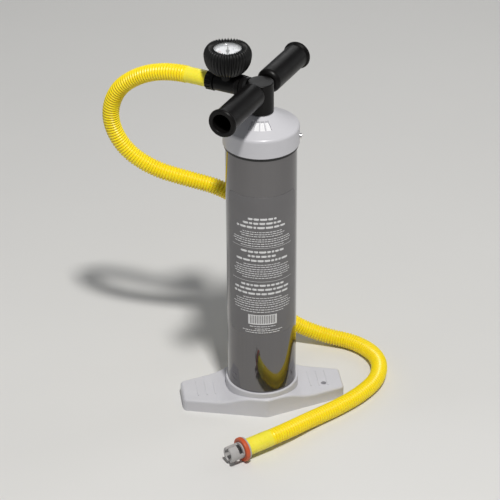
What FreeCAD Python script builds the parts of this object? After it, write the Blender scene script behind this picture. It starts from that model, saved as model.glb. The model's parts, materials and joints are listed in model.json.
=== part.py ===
import FreeCAD, Part
import math
import os

import Sketcher
from FreeCAD import Placement, Rotation, Vector

# A hand-worked high-pressure inflation pump: foot base, barrel, cap, sliding shaft with a piston
# and check valve, two-grip handle, outlet tee with a pressure gauge, and a corrugated hose that
# ends in a bayonet nozzle.
#
# Frame: millimetres, +Z up. The origin is on the floor, on the barrel's axis. The wings of the
# foot base lie along X. "Across" is the direction of the grips and "out" the direction in which
# the hose leaves; both are level, and both turn with handle_angle.

DRIVING_SIZES = {
    # foot base
    "base_half_length": 107.5,
    "base_end_half_width": 21.5,
    "base_mid_half_width": 53,
    "wing_height": 17.5,
    "swell_height": 27.5,
    "base_floor": 8,
    "socket_radius": 48,
    "socket_height": 34.7,
    # barrel and cap
    "barrel_radius": 45,
    "barrel_wall": 2.5,
    "barrel_top": 402,
    "cap_radius": 48,
    "skirt_bottom": 385.4,
    "cap_top": 427,
    "cap_screw_height": 393.5,
    # shaft and piston
    "shaft_radius": 8,
    "shaft_bore": 5.5,
    "running_gap": 0.05,
    "piston_bottom": 24,
    "piston_radius": 41.9,
    "seal_thickness": 5,
    "seal_travel": 2,
    # handle
    "hub_radius": 16,
    "hub_bottom": 428,
    "hub_top": 467.7,
    "handle_angle": 55.6,
    "grip_height": 458.5,
    "grip_radius": 15.75,
    "grip_rim_radius": 17.5,
    "grip_inner": 17.5,
    "grip_outer": 105,
    "arm_radius": 8,
    # outlet and gauge
    "outlet_height": 455,
    "outlet_bore": 5,
    "sleeve_radius": 14.5,
    "tee_radius": 11.6,
    "spigot_radius": 8.4,
    "spigot_end": 74,
    "gauge_offset": 45,
    "boot_radius": 29.4,
    "window_radius": 17.4,
    "case_radius": 22,
    "case_floor": 477,
    # hose and nozzle
    "hose_radius": 11,
    "hose_wall": 2,
    "cuff_start": 73,
    "hose_start": 102,
    "nozzle_height": 16.1,
    "nozzle_radius": 10.75,
    "gasket_radius": 16,
    "nozzle_heading": 206,
}

doc = FreeCAD.newDocument("AirPump")
sheet = doc.addObject("Spreadsheet::Sheet", "Sizes")
for row, (name, amount) in enumerate(DRIVING_SIZES.items(), start=1):
    sheet.set(f"A{row}", name)
    sheet.set(f"B{row}", str(amount))
    sheet.setAlias(f"B{row}", name)
doc.recompute()


class Size:
    """A length or an angle that follows the sheet: its value, and the expression that gives it."""

    def __init__(self, value, text):
        self.value = value
        self.text = text

    def joined(self, sign, value, other):
        return Size(value, f"({self.text} {sign} {size(other).text})")

    def __add__(self, other):
        return self.joined("+", self.value + size(other).value, other)

    def __radd__(self, other):
        return size(other) + self

    def __sub__(self, other):
        return self.joined("-", self.value - size(other).value, other)

    def __rsub__(self, other):
        return size(other) - self

    def __mul__(self, other):
        return self.joined("*", self.value * size(other).value, other)

    def __rmul__(self, other):
        return size(other) * self

    def __neg__(self):
        return Size(-self.value, f"(-1 * {self.text})")


def size(amount):
    """The amount as a Size."""
    if isinstance(amount, Size):
        return amount
    return Size(float(amount), f"{float(amount)!r}")


def cell(name):
    """The Size of a cell of the sheet."""
    return Size(float(DRIVING_SIZES[name]), f"Sizes.{name}")


# ---------------------------------------------------------------- building blocks


def bind(thing, prop, amount):
    """Gives a property of an object its value, and the expression that keeps it so."""
    amount = size(amount)
    setattr(thing, prop, amount.value)
    thing.setExpression(prop, amount.text)


def new_body(label):
    body = doc.addObject("PartDesign::Body", label)
    body.Label = label
    body.AllowCompound = True
    return body


def origin_part(body, role):
    """One of the body's own origin planes or axes."""
    return next(part for part in body.Origin.OriginFeatures if part.Role == role)


def arc_through(start, end, radius):
    """The arc from start to end: anticlockwise where the radius is positive, else clockwise."""
    chord = end - start
    across = Vector(-chord.y, chord.x, 0).normalize()
    rise = math.sqrt(max(radius**2 - chord.Length**2 / 4, 0))
    centre = (start + end) * 0.5 + across * math.copysign(rise, radius)
    if radius < 0:
        start, end = end, start
    first = math.atan2(start.y - centre.y, start.x - centre.x)
    last = math.atan2(end.y - centre.y, end.x - centre.x)
    return Part.ArcOfCircle(Part.Circle(centre, Vector(0, 0, 1), abs(radius)), first, last)


def pin_point(sketch, line, end, axis, amount):
    """Holds one coordinate of a line's end at an amount."""
    amount = size(amount)
    if abs(amount.value) < 1e-9:
        sketch.addConstraint(Sketcher.Constraint("PointOnObject", line, end, -2 if axis == "X" else -1))
        return
    held = Sketcher.Constraint("Distance" + axis, -1, 1, line, end, amount.value)
    sketch.setExpression(f"Constraints[{sketch.addConstraint(held)}]", amount.text)


def outline(body, role, corners, level=0, swing=0):
    """A closed sketch through the corners on one of the body's origin planes.

    A corner is (x, y), or (x, y, radius) where an arc of that radius runs to the next corner.
    level lifts the sketch off its plane, and swing turns it about the plane's own upright.
    """
    sketch = body.newObject("Sketcher::SketchObject", f"{body.Name}_outline")
    sketch.AttachmentSupport = (origin_part(body, role), [""])
    sketch.MapMode = "FlatFace"
    sketch.AttachmentOffset = Placement(Vector(0, 0, size(level).value), Rotation(Vector(0, 1, 0), swing))
    if isinstance(level, Size):
        sketch.setExpression("AttachmentOffset.Base.z", level.text)
    points = [Vector(size(c[0]).value, size(c[1]).value, 0) for c in corners]
    starts = []
    ends = []
    for index, corner in enumerate(corners):
        here = points[index]
        there = points[(index + 1) % len(points)]
        bulge = corner[2] if len(corner) == 3 else 0
        edge = arc_through(here, there, bulge) if bulge else Part.LineSegment(here, there)
        line = sketch.addGeometry(edge, False)
        starts.append((line, 2 if bulge < 0 else 1))
        ends.append((line, 1 if bulge < 0 else 2))
        if bulge:
            sketch.addConstraint(Sketcher.Constraint("Radius", line, abs(bulge)))
    for index, corner in enumerate(corners):
        sketch.addConstraint(Sketcher.Constraint("Coincident", *ends[index - 1], *starts[index]))
        pin_point(sketch, *starts[index], "X", corner[0])
        pin_point(sketch, *starts[index], "Y", corner[1])
    return sketch


def turned(body, corners, cut=False, angle=360, swing=0):
    """A revolution, or a groove, of (radius, height) corners about the body's Z axis."""
    sketch = outline(body, "XZ_Plane", corners, swing=swing)
    kind = "Groove" if cut else "Revolution"
    feature = body.newObject(f"PartDesign::{kind}", f"{body.Name}_{kind}")
    feature.Profile = sketch
    feature.ReferenceAxis = (sketch, ["V_Axis"])
    feature.Angle = angle
    feature.Midplane = angle < 360
    return feature


def raised(body, corners, depth, level=0, cut=False):
    """A pad upwards from a level through (x, y) corners, or a pocket upwards."""
    sketch = outline(body, "XY_Plane", corners, level=level)
    kind = "Pocket" if cut else "Pad"
    feature = body.newObject(f"PartDesign::{kind}", f"{body.Name}_{kind}")
    feature.Profile = sketch
    bind(feature, "Length", depth)
    feature.Reversed = cut
    return feature


def rod(body, radius, start, end, cut=False):
    """A cylinder added to the body, or cut from it, from one point to another."""
    kind = "SubtractiveCylinder" if cut else "AdditiveCylinder"
    start = Vector(*[size(c).value for c in start])
    end = Vector(*[size(c).value for c in end])
    feature = body.newObject(f"PartDesign::{kind}", f"{body.Name}_{kind}")
    bind(feature, "Radius", radius)
    feature.Height = (end - start).Length
    feature.Placement = Placement(start, Rotation(Vector(0, 0, 1), end - start))
    return feature


def block(body, sizes, centre, cut=False, turn=0):
    """A box added to the body, or cut from it, about a centre, turned about Z."""
    kind = "SubtractiveBox" if cut else "AdditiveBox"
    feature = body.newObject(f"PartDesign::{kind}", f"{body.Name}_{kind}")
    feature.Length, feature.Width, feature.Height = sizes
    rotation = Rotation(Vector(0, 0, 1), turn)
    middle = Vector(*[size(c).value for c in centre])
    feature.Placement = Placement(middle - rotation.multVec(Vector(*sizes) * 0.5), rotation)
    return feature


def ring_of(body, features, count, angle=360):
    """Repeats features about the body's Z axis."""
    pattern = body.newObject("PartDesign::PolarPattern", f"{body.Name}_repeat")
    pattern.Originals = features
    pattern.Axis = (origin_part(body, "Z_Axis"), [""])
    pattern.Angle = angle
    pattern.Occurrences = count
    body.Tip = pattern
    return pattern


def rounded(body, radius, chosen):
    """Fillets the edges that chosen(edge) picks."""
    doc.recompute()
    base = body.Tip
    names = [f"Edge{n}" for n, edge in enumerate(base.Shape.Edges, start=1) if chosen(edge)]
    fillet = body.newObject("PartDesign::Fillet", f"{body.Name}_fillet")
    fillet.Base = (base, names)
    fillet.Radius = radius
    return fillet


def circle_at(radius, height):
    """Picks the circular edge of that radius and height about the Z axis."""

    def chosen(edge):
        is_circle = isinstance(edge.Curve, Part.Circle)
        return (
            is_circle
            and abs(edge.Curve.Radius - size(radius).value) < 0.01
            and abs(edge.Curve.Center.z - size(height).value) < 0.01
        )

    return chosen


def mirrored(corner, side):
    """The corner of an outline, or its mirror image where side is 1."""
    flipped = (-side * corner[0], *corner[1:])
    return (*flipped[:2], -side * corner[2]) if len(corner) == 3 else flipped


def upright_at(x, y):
    """Picks the upright straight edges that stand at (x, y)."""

    def chosen(edge):
        ends = [v.Point for v in edge.Vertexes]
        at_place = all(abs(abs(p.x) - x) < 0.01 and abs(abs(p.y) - y) < 0.01 for p in ends)
        return len(ends) == 2 and at_place and abs(ends[0].z - ends[1].z) > 1

    return chosen


def lathe(label, corners):
    """A body that is one revolution."""
    body = new_body(label)
    turned(body, corners)
    return body


def ring(label, middle_radius, section_radius, height):
    """A rubber ring of round section."""
    torus = doc.addObject("Part::Torus", label)
    torus.Label = label
    bind(torus, "Radius1", middle_radius)
    bind(torus, "Radius2", section_radius)
    torus.Placement = Placement(Vector(0, 0, size(height).value), Rotation())
    if isinstance(height, Size):
        torus.setExpression("Placement.Base.z", height.text)
    return torus


# Directions of a body's own Z axis, for Placement.
HANDLE_TURN = Rotation(Vector(0, 0, 1), cell("handle_angle").value)
LIE_ACROSS = Rotation(Vector(0, 1, 0), 90)
LIE_OUT = Rotation(Vector(1, 0, 0), -90)


def put_on_handle(body, height=0, lie=Rotation(), out=0):
    """Places a body in the handle: laid along an axis, moved out from the hub and turned."""
    local = Placement(Vector(0, size(out).value, size(height).value), lie)
    body.Placement = Placement(Vector(), HANDLE_TURN).multiply(local)
    return body


# ---------------------------------------------------------------- pump body


def make_foot_base():
    """A long hexagon that swells at the middle, with a socket ring, hollow under the wings."""
    half = cell("base_half_length")
    tip = cell("base_end_half_width")
    middle = cell("base_mid_half_width")
    top = cell("wing_height")
    swell = cell("swell_height")
    rim = cell("socket_height")
    socket = cell("socket_radius")
    floor = cell("base_floor")
    body = new_body("foot_base")
    corners = [(half, -tip), (half, tip), (0, middle), (-half, tip), (-half, -tip), (0, -middle)]
    raised(body, corners, swell)
    # the swelling falls to the wings on each side, in two arcs that are level where they end
    foot = 68
    run = 26
    drop = (swell - top) * 0.5
    fall = (run**2 + drop.value**2) / (2 * drop.value)
    profile = [
        (-half - 5, top),
        (-foot, top, fall),
        (run - foot, top + drop, -fall),
        (2 * run - foot, swell),
        (2 * run - foot, swell + 5),
        (-half - 5, swell + 5),
    ]
    for side in (-1, 1):
        sketch = outline(body, "XZ_Plane", [mirrored(corner, side) for corner in profile])
        pocket = body.newObject("PartDesign::Pocket", "foot_base_saddle")
        pocket.Profile = sketch
        pocket.Type = 1
        pocket.Midplane = True
    rounded(body, 6, upright_at(half.value, tip.value))
    rounded(body, 12, upright_at(0, middle.value))

    def on_top_rim(edge):
        box = edge.BoundBox
        ends = [v.Point for v in edge.Vertexes]
        lies_flat = box.ZMin > top.value - 0.1
        across = abs(ends[0].x - ends[-1].x) < 0.01 and box.YLength > 30
        inside = abs(ends[0].x) < half.value - 5 and across
        return lies_flat and not inside

    rounded(body, 3.2, on_top_rim)
    rod(body, socket, (0, 0, floor), (0, 0, rim))
    slip = cell("barrel_radius") + 0.15
    rod(body, slip, (0, 0, floor), (0, 0, rim + 5), cut=True)
    rounded(body, 1, circle_at(socket, rim))
    wall = 3
    cells = [(56, 75), (88.5, 103.5)]
    slope = (middle.value - tip.value) / half.value
    for side in (-1, 1):
        for near, far in cells:
            near_width = middle - slope * near - wall
            far_width = middle - slope * far - wall
            corners = [
                (side * near, -near_width),
                (side * far, -far_width),
                (side * far, far_width),
                (side * near, near_width),
            ]
            raised(body, corners, top - wall, cut=True)
    # three low grip ribs on each wing
    rib_size = (1.4, 34, 1.6)
    pitch = 11.5
    for first, step in ((64, pitch), (-64, -pitch)):
        for count in range(3):
            block(body, rib_size, (first + count * step, 2, top))
    # a lashing hole through one wing, and four screw holes under the barrel
    rod(body, 3.5, (81.7, -10, -1), (81.7, -10, top + 5), cut=True)
    screw_circle = 28
    head = rod(body, 4.6, (screw_circle, 0, -1), (screw_circle, 0, 4), cut=True)
    shank = rod(body, 2.2, (screw_circle, 0, 3), (screw_circle, 0, floor + 1), cut=True)
    ring_of(body, [head, shank], 4)
    return body


def make_base_screws():
    """Four pan-head screws that hold the bottom plug down, in the base's underside."""
    screw_circle = 28
    body = new_body("base_screws")
    head = rod(body, 4, (screw_circle, 0, 1.4), (screw_circle, 0, 4))
    shank = rod(body, 1.85, (screw_circle, 0, 3), (screw_circle, 0, 17.5))
    slot = block(body, (5.5, 0.9, 2), (screw_circle, 0, 1.4), cut=True)
    cross = block(body, (0.9, 5.5, 2), (screw_circle, 0, 1.4), cut=True)
    ring_of(body, [head, shank, slot, cross], 4)
    return body


def make_bottom_plug():
    """The barrel's lower end: a disc with a ring groove and four screw pilots."""
    floor = cell("base_floor")
    radius = cell("barrel_radius") - cell("barrel_wall") - 0.1
    groove = radius - 2.9
    body = lathe(
        "bottom_plug",
        [
            (0, floor),
            (radius, floor),
            (radius, floor + 4),
            (groove, floor + 4),
            (groove, floor + 7.2),
            (radius, floor + 7.2),
            (radius, floor + 12),
            (radius - 4, floor + 14),
            (0, floor + 14),
        ],
    )
    pilot = rod(body, 1.9, (28, 0, floor - 1), (28, 0, floor + 10), cut=True)
    ring_of(body, [pilot], 4)
    return body


CAP_SCREW_HEADING = -10


def drill_for_cap_screws(body):
    """Cuts one hole right through, for the two screws that hold the cap on the barrel."""
    height = cell("cap_screw_height")
    heading = math.radians(CAP_SCREW_HEADING)
    x = 60 * math.cos(heading)
    y = 60 * math.sin(heading)
    rod(body, 1.7, (-x, -y, height), (x, y, height), cut=True)


def make_barrel():
    """The aluminium tube, with the two holes of the cap screws."""
    radius = cell("barrel_radius")
    inside = radius - cell("barrel_wall")
    bottom = cell("base_floor")
    top = cell("barrel_top")
    body = lathe("barrel", [(inside, bottom), (radius, bottom), (radius, top), (inside, top)])
    drill_for_cap_screws(body)
    return body


def make_label():
    """A thin sticker bent round the front of the barrel."""
    inside = cell("barrel_radius") + 0.03
    outside = inside + 0.2
    bottom = LABEL_BOTTOM
    top = LABEL_TOP
    body = new_body("label")
    corners = [(inside, bottom), (outside, bottom), (outside, top), (inside, top)]
    turned(body, corners, angle=132)
    body.Placement = Placement(Vector(), Rotation(Vector(0, 0, 1), LABEL_HEADING))
    return body


LABEL_BOTTOM = 126
LABEL_TOP = 329.6
LABEL_HEADING = -95


def make_cap_ring():
    """The black sealing ring under the cap's skirt."""
    inside = cell("barrel_radius") + 0.2
    top = cell("skirt_bottom")
    outside = cell("cap_radius") - 1.4
    low = top - 4.2
    return lathe("cap_ring", [(inside, low), (outside, low), (outside, top), (inside, top)])


VENT_GROUPS = (-101, 79)
VENT_PITCH = 13.8
VENT_WIDTH = 11
CONE_FALL = 0.571
CONE_START = 17


def cone_height(radius):
    """Height of the cap's cone at a radius."""
    return cell("cap_top") - CONE_FALL * (radius - CONE_START)


def make_top_cap():
    """The cap: skirt, shallow cone with air windows, and the boss of the shaft guide."""
    radius = cell("cap_radius")
    bottom = cell("skirt_bottom")
    top = cell("cap_top")
    skirt_inside = cell("barrel_radius") + 0.3
    ledge = cell("barrel_top") + 0.5
    bore = 12.1
    shoulder = 4.8
    cone_end = radius - 3.5
    wall = 2.4
    boss = 15.5
    inner_end = 42
    body = lathe(
        "top_cap",
        [
            (skirt_inside, bottom),
            (radius, bottom),
            (radius, cone_height(cone_end) - 5, shoulder),
            (cone_end, cone_height(cone_end)),
            (CONE_START, top),
            (bore, top),
            (bore, top - 27),
            (boss, top - 27),
            (boss, cone_height(boss) - wall),
            (inner_end, cone_height(inner_end) - wall),
            (inner_end, ledge),
            (skirt_inside, ledge),
        ],
    )
    # Two groups of four air windows through the cone, in front and behind.
    near = 22
    far = 34.5
    for group in VENT_GROUPS:
        for place in (-1.5, -0.5, 0.5, 1.5):
            turned(
                body,
                [(near, top - 12), (far, top - 14), (far, top), (near, top)],
                cut=True,
                angle=VENT_WIDTH,
                swing=group + place * VENT_PITCH,
            )
    drill_for_cap_screws(body)
    return body


def make_inlet_filters():
    """Two pale filter pads under the windows, one for each group."""
    near = 20
    far = 36.5
    sunk = 2.5
    thick = 1.5
    near_top = cone_height(near) - sunk
    far_top = cone_height(far) - sunk
    body = new_body("inlet_filters")
    for group in VENT_GROUPS:
        turned(
            body,
            [(near, near_top - thick), (far, far_top - thick), (far, far_top), (near, near_top)],
            angle=62,
            swing=group,
        )
    return body


def make_cap_screws():
    """Two pan-head screws through the skirt and the barrel wall."""
    height = cell("cap_screw_height")
    radius = cell("cap_radius")
    body = new_body("cap_screws")
    for side in (-1, 1):
        rod(body, 3.1, (side * (radius + 0.02), 0, height), (side * (radius + 2.4), 0, height))
        rod(body, 1.5, (side * 42.7, 0, height), (side * (radius + 1), 0, height))
    for side in (-1, 1):
        block(body, (1.4, 4, 0.8), (side * (radius + 2.4), 0, height), cut=True)
        block(body, (1.4, 0.8, 4), (side * (radius + 2.4), 0, height), cut=True)
    body.Placement = Placement(Vector(), Rotation(Vector(0, 0, 1), CAP_SCREW_HEADING))
    return body


def make_shaft_guide():
    """The bush that guides the shaft, with seats for a seal and a wiper."""
    bore = cell("shaft_radius") + cell("running_gap")
    top = cell("cap_top") - 0.2
    ledge = cell("cap_top") - 27.2
    return lathe(
        "shaft_guide",
        [
            (bore, ledge - 10),
            (13, ledge - 10),
            (13, ledge - 4),
            (15.2, ledge - 4),
            (15.2, ledge),
            (12, ledge),
            (12, top),
            (10.6, top),
            (10.6, top - 3.5),
            (bore, top - 3.5),
            (bore, ledge - 4.6),
            (10.7, ledge - 4.6),
            (10.7, ledge - 7.4),
            (bore, ledge - 7.4),
        ],
    )


def make_shaft_wiper():
    top = cell("cap_top") - 0.3
    inside = cell("shaft_radius") + 0.08
    return lathe("shaft_wiper", [(inside, top - 3.2), (10.5, top - 3.2), (10.5, top), (inside, top)])


# ---------------------------------------------------------------- shaft and piston


def make_shaft():
    """The hollow rod that carries the air up to the handle."""
    low = cell("piston_bottom") + 18
    high = cell("hub_bottom") + 18
    inside = cell("shaft_bore")
    outside = cell("shaft_radius")
    return lathe("shaft", [(inside, low), (outside, low), (outside, high), (inside, high)])


def make_piston_body():
    """The piston: notched lower flange, seal spool, valve chamber and shaft socket."""
    low = cell("piston_bottom")
    radius = cell("piston_radius")
    spool = radius - 4.8
    flange_top = low + 5
    plate = flange_top + cell("seal_thickness") + cell("seal_travel")
    body = lathe(
        "piston_body",
        [
            (4, low),
            (radius, low),
            (radius, flange_top),
            (spool, flange_top),
            (spool, plate),
            (14, plate),
            (14, plate + 20),
            (cell("shaft_radius") + 0.05, plate + 20),
            (cell("shaft_radius") + 0.05, low + 18),
            (6.5, low + 18),
            (6.5, low + 7),
            (4, low + 7),
        ],
    )
    notch = rod(body, 3, (41, 0, low - 1), (41, 0, flange_top + 1), cut=True)
    ring_of(body, [notch], 12)
    return body


def make_piston_plate():
    """The plate that closes the seal groove from above."""
    low = cell("piston_bottom") + 5 + cell("seal_thickness") + cell("seal_travel")
    radius = cell("piston_radius")
    return lathe("piston_plate", [(14.1, low), (radius, low), (radius, low + 5), (14.1, low + 5)])


def make_piston_nut():
    """The hexagon nut that holds the plate down."""
    low = cell("piston_bottom") + 10 + cell("seal_thickness") + cell("seal_travel")
    body = new_body("piston_nut")
    across_corners = 21
    corners = []
    for count in range(6):
        angle = math.radians(60 * count + 15)
        corners.append((across_corners * math.cos(angle), across_corners * math.sin(angle)))
    raised(body, corners, 6, level=low)
    rod(body, 14.1, (0, 0, low - 1), (0, 0, low + 8), cut=True)
    return body


def make_piston_seal():
    """The floating ring: it seals on the way down and lets air past on the way up."""
    section = cell("seal_thickness") * 0.5
    wall = cell("barrel_radius") - cell("barrel_wall")
    height = cell("piston_bottom") + 5 + section
    return ring("piston_seal", wall - cell("running_gap") - section, section, height)


def make_check_disc():
    """The disc that stops air in the hose from coming back into the barrel."""
    seat = cell("piston_bottom") + 7
    return lathe(
        "check_disc",
        [(0, seat), (5.9, seat), (5.9, seat + 2), (2.4, seat + 2), (2.4, seat + 5), (0, seat + 5)],
    )


def make_check_spring():
    """A wire coil between the disc and the shaft's lower end."""
    low = cell("piston_bottom") + 9
    wire = 0.45
    coil = 4.4
    body = new_body("check_spring")
    sketch = body.newObject("Sketcher::SketchObject", "check_spring_wire")
    sketch.AttachmentSupport = (origin_part(body, "XZ_Plane"), [""])
    sketch.MapMode = "FlatFace"
    centre = Vector(coil, low.value + wire + 0.05, 0)
    sketch.addGeometry(Part.Circle(centre, Vector(0, 0, 1), wire), False)
    sketch.addConstraint(Sketcher.Constraint("Radius", 0, wire))
    pin_point(sketch, 0, 3, "X", coil)
    pin_point(sketch, 0, 3, "Y", low + wire + 0.05)
    helix = body.newObject("PartDesign::AdditiveHelix", "check_spring_helix")
    helix.Profile = sketch
    helix.ReferenceAxis = (sketch, ["V_Axis"])
    helix.Mode = 0
    helix.Pitch = 2
    helix.Height = 7.9
    return body


def make_stroke_bumper():
    """The rubber ring that ends the upward stroke."""
    low = cell("piston_bottom") + 32.2
    inside = cell("shaft_radius") + 0.1
    return lathe("stroke_bumper", [(inside, low), (13, low), (13, low + 10), (inside, low + 10)])


# ---------------------------------------------------------------- handle


def make_handle_hub():
    """The post on the shaft, with one arm for each grip and the air outlet."""
    radius = cell("hub_radius")
    low = cell("hub_bottom")
    high = cell("hub_top")
    level = cell("grip_height")
    outlet = cell("outlet_height")
    arm_end = 78
    body = lathe("handle_hub", [(0, low), (radius, low), (radius, high), (0, high)])
    rounded(body, 1.2, circle_at(radius, high))
    rounded(body, 0.8, circle_at(radius, low))
    rod(body, cell("arm_radius"), (-arm_end, 0, level), (arm_end, 0, level))
    collar = cell("grip_inner").value - 0.1
    rod(body, 8.2, (-collar, 0, level), (collar, 0, level))
    rod(body, cell("spigot_radius"), (0, 0, outlet), (0, 27, outlet))
    for side in (-1, 1):
        rod(body, 6.5, (side * 26, 0, level), (side * (arm_end + 1), 0, level), cut=True)
    rod(body, cell("outlet_bore"), (0, 0, outlet), (0, 28, outlet), cut=True)
    rod(body, cell("outlet_bore"), (0, 0, low + 10), (0, 0, outlet + 3), cut=True)
    rod(body, cell("shaft_radius") + 0.05, (0, 0, low - 1), (0, 0, low + 18), cut=True)
    return put_on_handle(body)


def make_grip(label, side):
    """A hollow grip: rounded shoulder by the hub and an open rim at the far end."""
    near = cell("grip_inner")
    far = cell("grip_outer")
    radius = cell("grip_radius")
    rim = cell("grip_rim_radius")
    arm = cell("arm_radius") + 0.05
    shoulder = 7
    pocket = 12
    body = lathe(
        label,
        [
            (arm, near),
            (radius - 4.5, near, 6.6),
            (radius, near + shoulder),
            (radius, far - 6.5),
            (rim, far - 5, 3),
            (rim, far - 1.4, 1.6),
            (rim - 1.4, far),
            (pocket + 1, far, 1.4),
            (pocket, far - 1),
            (pocket, far - 28.5),
            (arm, far - 28.5),
        ],
    )
    lie = Rotation(Vector(0, 1, 0), 90 * side)
    return put_on_handle(body, height=cell("grip_height"), lie=lie)


# ---------------------------------------------------------------- outlet


def lathe_out(label, corners):
    """A round piece about the outlet's axis: corners are (radius, distance from the hub's axis)."""
    return put_on_handle(lathe(label, corners), height=cell("outlet_height"), lie=LIE_OUT)


def make_union_ring():
    inside = cell("spigot_radius") + 0.1
    outside = cell("sleeve_radius") - 1
    return lathe_out("union_ring", [(inside, 16.6), (outside, 16.6), (outside, 20), (inside, 20)])


def make_union_nut():
    """The ring nut that clamps the tee to the hub."""
    inside = cell("spigot_radius") + 0.1
    radius = cell("sleeve_radius") - 0.5
    corners = [(inside, 20), (radius - 1, 20), (radius, 21), (radius, 24.4), (radius - 1, 25.4), (inside, 25.4)]
    return lathe_out("union_nut", corners)


def make_union_seal():
    seal = ring("union_seal", 9.6, 1, 0)
    seal.setExpression("Placement.Base.z", None)
    return put_on_handle(seal, height=cell("outlet_height"), lie=LIE_OUT, out=26.6)


def make_outlet_tee():
    """The outlet pipe: a sleeve on the hub's spigot, a boss for the gauge, a spigot for the hose."""
    sleeve = cell("sleeve_radius")
    tube = cell("tee_radius")
    spigot = cell("spigot_radius")
    bore = cell("outlet_bore")
    end = cell("spigot_end")
    body = lathe(
        "outlet_tee",
        [
            (10.7, 25.5),
            (sleeve, 25.5),
            (sleeve, 30, 1.5),
            (sleeve - 1.5, 31.5),
            (tube, 32),
            (tube, 60, 1.5),
            (tube - 1.5, 61.5),
            (spigot, 61.5),
            (spigot, end - 1),
            (spigot - 1, end),
            (bore, end),
            (bore, 29),
            (spigot + 0.1, 29),
            (spigot + 0.1, 27.7),
            (10.7, 27.7),
        ],
    )
    out = cell("gauge_offset")
    boss_top = 14
    rod(body, 9.5, (0, 0, out), (0, -boss_top, out))
    rod(body, 5.2, (0, 0, out), (0, -boss_top - 1, out), cut=True)
    rod(body, bore, (0, 0, 30), (0, 0, 70), cut=True)
    return put_on_handle(body, height=cell("outlet_height"), lie=LIE_OUT)


def make_hose_nut():
    """The collar that clamps the hose's cuff on the spigot, with a flange and finger ribs."""
    inside = cell("spigot_radius") + 0.1
    cuff = 10.3
    near = 61.8
    far = cell("cuff_start")
    radius = 11.6
    body = new_body("hose_nut")
    turned(
        body,
        [
            (inside, near),
            (12.6, near),
            (12.6, near + 2.6),
            (radius, near + 3),
            (radius, far - 0.6),
            (radius - 0.5, far),
            (cuff, far),
            (cuff, near + 2.2),
            (inside, near + 2.2),
        ],
    )
    rib = rod(body, 0.9, (radius, 0, near + 1), (radius, 0, far - 0.8))
    ring_of(body, [rib], 14)
    return put_on_handle(body, height=cell("outlet_height"), lie=LIE_OUT)


def make_hose_cuff_top():
    """The hose's smooth end, pushed over the spigot."""
    inside = cell("spigot_radius") + 0.1
    end = cell("hose_start")
    return lathe_out(
        "hose_cuff_top",
        [
            (inside, 64.2),
            (10.2, 64.2),
            (10.2, end - 4),
            (10.6, end),
            (cell("hose_radius") - cell("hose_wall"), end),
            (inside, end - 3),
        ],
    )


# ---------------------------------------------------------------- pressure gauge


def put_on_gauge(body):
    return put_on_handle(body, out=cell("gauge_offset"))


def lathe_gauge(label, corners):
    return put_on_gauge(lathe(label, corners))


def make_gauge_stem():
    """The brass fitting between the tee's boss and the gauge case."""
    floor = cell("case_floor")
    low = cell("outlet_height") + 6
    body = new_body("gauge_stem")
    turned(
        body,
        [
            (1.5, low),
            (5.1, low),
            (5.1, floor + 3.5),
            (1.5, floor + 3.5),
        ],
    )
    corners = [(7.8 * math.cos(math.radians(60 * n)), 7.8 * math.sin(math.radians(60 * n))) for n in range(6)]
    raised(body, corners, 5, level=floor - 5.6)
    rod(body, 1.5, (0, 0, floor - 10), (0, 0, floor + 1), cut=True)
    return put_on_gauge(body)


def make_gauge_case():
    """The steel cup that holds the movement."""
    floor = cell("case_floor")
    radius = cell("case_radius")
    top = floor + 25.2
    inside = radius - 1.2
    bend = 3
    corners = [
        (5.3, floor),
        (radius - bend, floor, bend),
        (radius, floor + bend),
        (radius, top),
        (inside, top),
        (inside, floor + 1.2),
        (5.3, floor + 1.2),
    ]
    return lathe_gauge("gauge_case", corners)


def make_gauge_boot():
    """The rubber boot round the case: widest below its window, and drawn in at the foot."""
    radius = cell("boot_radius")
    window = cell("window_radius")
    inside = cell("case_radius") + 0.2
    floor = cell("case_floor")
    low = floor - 6.8
    widest = floor + 14
    rim = floor + 27.4
    lip = floor + 25.5
    return lathe_gauge(
        "gauge_boot",
        [
            (8.2, low),
            (17, low),
            (18, low + 0.6, 27),
            (radius, widest, 20),
            (radius - 4, rim - 1.4, 4.5),
            (window + 2, rim),
            (window, rim - 1),
            (window, lip),
            (inside, lip),
            (inside, floor + 2),
            (inside - 2.2, floor - 0.3),
            (8.2, floor - 0.3),
        ],
    )


def make_gauge_lens():
    low = cell("case_floor") + 23.3
    radius = cell("case_radius") - 1.4
    return lathe_gauge("gauge_lens", [(0, low), (radius, low), (radius, low + 1.8), (0, low + 1.8)])


def make_gauge_dial():
    low = cell("case_floor") + 20.3
    radius = cell("case_radius") - 1.5
    return lathe_gauge("gauge_dial", [(1.3, low), (radius, low), (radius, low + 0.8), (1.3, low + 0.8)])


def make_gauge_movement():
    """The movement's frame: a plate on three posts, with the sector's pivot pin."""
    floor = cell("case_floor")
    body = new_body("gauge_movement")
    turned(body, [(1.3, floor + 11), (16, floor + 11), (16, floor + 12.2), (1.3, floor + 12.2)])
    post = rod(body, 1.2, (14, 0, floor + 1.3), (14, 0, floor + 20.2))
    ring_of(body, [post], 3)
    pin = rod(body, 0.75, (0, 11, floor + 5.5), (0, 11, floor + 11.5))
    body.Tip = pin
    return put_on_gauge(body)


def make_gauge_pinion():
    """The needle's arbor with its pinion."""
    floor = cell("case_floor")
    return lathe_gauge(
        "gauge_pinion",
        [
            (0, floor + 6),
            (1, floor + 6),
            (1, floor + 7),
            (2, floor + 7),
            (2, floor + 10),
            (1, floor + 10),
            (1, floor + 21.9),
            (0, floor + 21.9),
        ],
    )


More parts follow.
